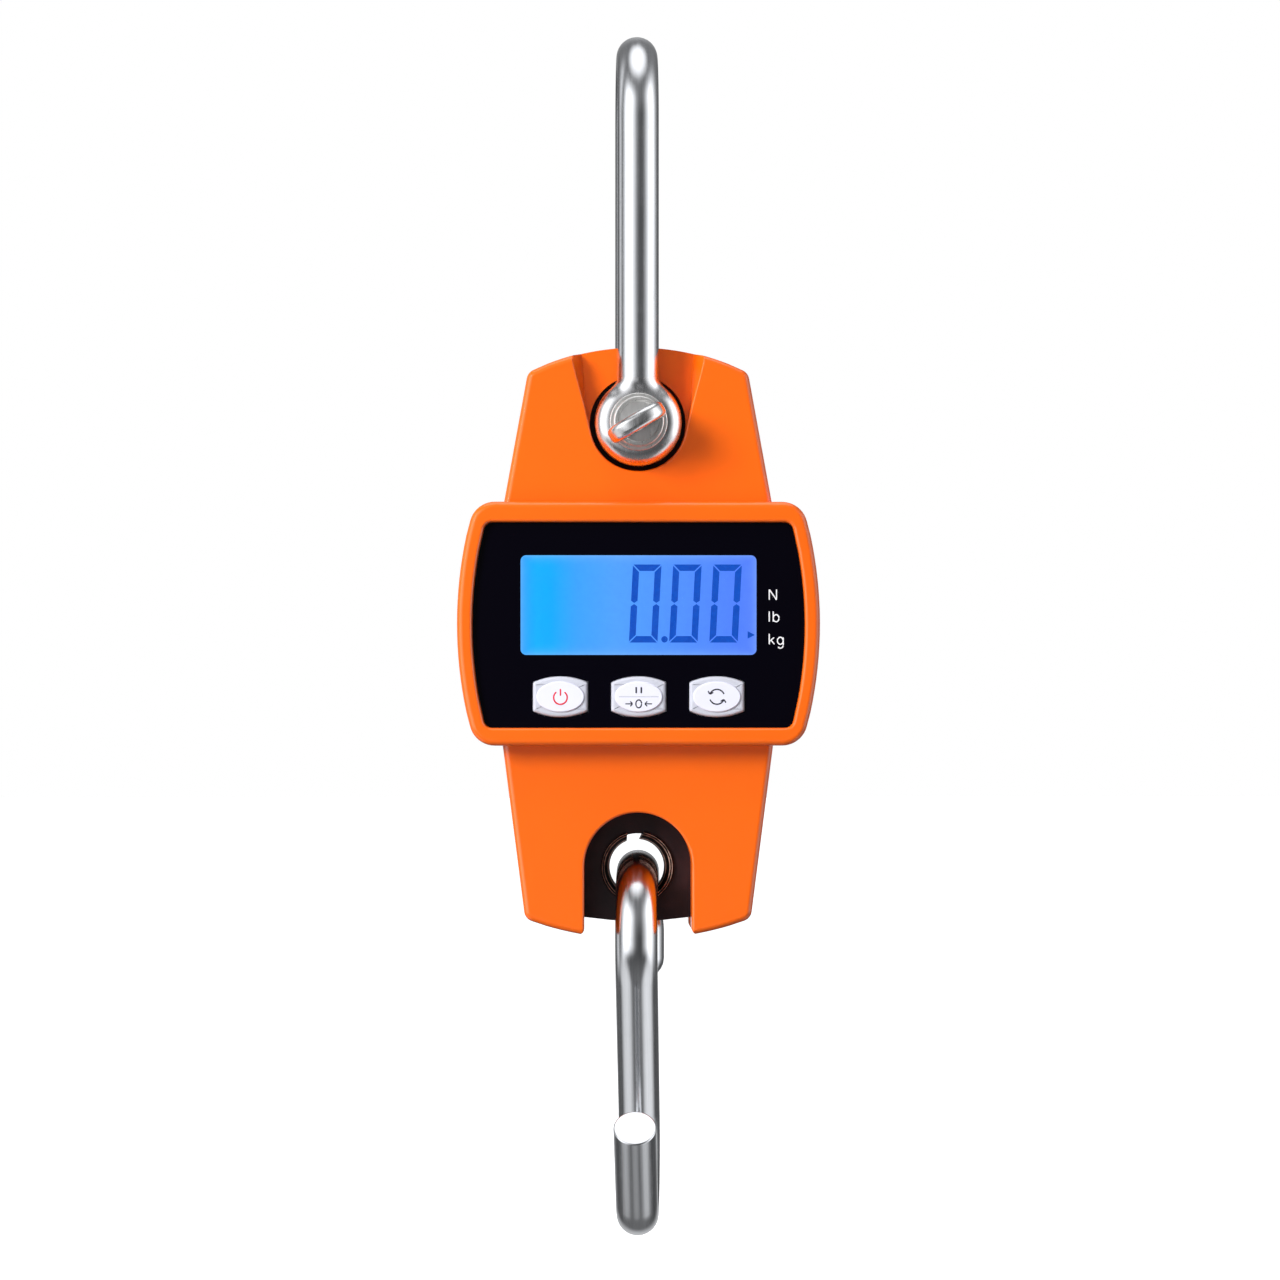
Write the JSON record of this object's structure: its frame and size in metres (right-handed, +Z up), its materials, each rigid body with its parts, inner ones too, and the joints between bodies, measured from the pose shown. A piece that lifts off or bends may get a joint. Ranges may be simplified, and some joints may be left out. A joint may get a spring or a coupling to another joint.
{
  "type": "digital fish scale",
  "caption": "Hanging digital fish scale with a screw-pin shackle, a painted body with lit number display and keys, and an S-hook.",
  "frame": {"origin": "load point: inner crown of the shackle's bow", "axes": "+Z up along the load line, -Y towards the display, +X to the reader's right"},
  "size_m": [0.078, 0.0508, 0.262],
  "materials": {
    "steel": "polished stainless rod, fine drawn grain",
    "pin_steel": "satin stainless, light turning marks",
    "hook_steel": "polished stainless rod",
    "orange_paint": "satin orange powder coat on die-cast aluminium",
    "orange_plastic": "orange plastic, fine grain",
    "black_rubber": "matte",
    "screw_steel": "blackened steel",
    "cell_black": "black oxide steel",
    "gauge_foil": "foil",
    "white_silicone": "soft silicone pad",
    "bush_black": "dark bronze ring, worn rims",
    "panel_black": "gloss black acrylic",
    "clear_window": "clear acrylic",
    "lcd_blue": "blue back-lit display",
    "segment_blue": "dark blue display strokes",
    "light_guide": "milky light guide",
    "frame_white": "moulded plastic",
    "zebra_rubber": "conductive rubber strip",
    "board_green": "solder mask",
    "chip_black": "moulded chips",
    "switch_black": "moulded plastic",
    "key_silver": "silver-grey key with a white raised oval",
    "stem_red": "moulded plastic",
    "tray_black": "moulded plastic",
    "battery_wrap": "plain dark cell sleeve",
    "contact_nickel": "nickel plate",
    "lead_red": "insulated wire"
  },
  "bodies": {
    "shackle": {"shackle": "steel"},
    "pin_washer": {"pin_washer": "pin_steel"},
    "pin": {"shackle_pin": "pin_steel"},
    "case": {"pin_spacers": "pin_steel", "front_case": "orange_paint", "rear_case": "orange_paint", "case_gasket": "black_rubber", "case_screws": "screw_steel", "load_cell": "cell_black", "load_cell_screws": "screw_steel", "strain_gauges": "gauge_foil", "gauge_covers": "white_silicone", "face_panel": "panel_black", "lcd_window": "clear_window", "lcd_glass": "lcd_blue", "lcd_segments": "segment_blue", "lcd_backlight": "light_guide", "lcd_frame": "frame_white", "lcd_connector": "zebra_rubber", "main_board": "board_green", "board_parts": "chip_black", "board_screws": "screw_steel", "tact_switches": "switch_black", "battery_tray": "tray_black", "battery_cells": "battery_wrap", "battery_contacts": "contact_nickel", "load_cell_leads": "lead_red", "battery_leads": "lead_red"},
    "bush": {"hook_bush": "bush_black"},
    "hook": {"hook": "hook_steel"},
    "power_key": {"power_key": "key_silver", "power_stem": "stem_red"},
    "hold_key": {"hold_key": "key_silver", "hold_stem": "stem_red"},
    "unit_key": {"unit_key": "key_silver", "unit_stem": "stem_red"},
    "battery_door": {"battery_door": "orange_plastic", "battery_door_screws": "screw_steel"}
  },
  "joints": [
    {"name": "pin_feed", "type": "slide", "parent": "shackle", "child": "pin_washer", "axis": [0, -1, 0], "range_m": [0, 0.008]},
    {"name": "pin_turn", "type": "hinge", "parent": "pin_washer", "child": "pin", "pos_m": [0, -0.02, -0.076], "axis": [0, 1, 0], "range_deg": [0, 2304]},
    {"name": "body_swing", "type": "hinge", "parent": "shackle", "child": "case", "pos_m": [0, 0, -0.076], "axis": [0, 1, 0], "range_deg": [-30, 30]},
    {"name": "bush_turn", "type": "hinge", "parent": "case", "child": "bush", "pos_m": [0, 0, -0.1724], "axis": [0, 1, 0], "range_deg": [-20, 20]},
    {"name": "hook_swing", "type": "hinge", "parent": "bush", "child": "hook", "pos_m": [0, 0, -0.1874], "axis": [0.9981, -0.061, 0], "range_deg": [-45, 45]},
    {"name": "power_key_press", "type": "slide", "parent": "case", "child": "power_key", "axis": [0, 1, 0], "range_m": [0, 0.0005], "stiffness_N_per_m": 800},
    {"name": "hold_key_press", "type": "slide", "parent": "case", "child": "hold_key", "axis": [0, 1, 0], "range_m": [0, 0.0005], "stiffness_N_per_m": 800},
    {"name": "unit_key_press", "type": "slide", "parent": "case", "child": "unit_key", "axis": [0, 1, 0], "range_m": [0, 0.0005], "stiffness_N_per_m": 800},
    {"name": "door_lift", "type": "slide", "parent": "case", "child": "battery_door", "axis": [0, 1, 0], "range_m": [0, 0.03]}
  ],
  "couplings": [
    {"joint": "pin_turn", "follows": "pin_feed", "rad_per_m": 5026.5}
  ]
}
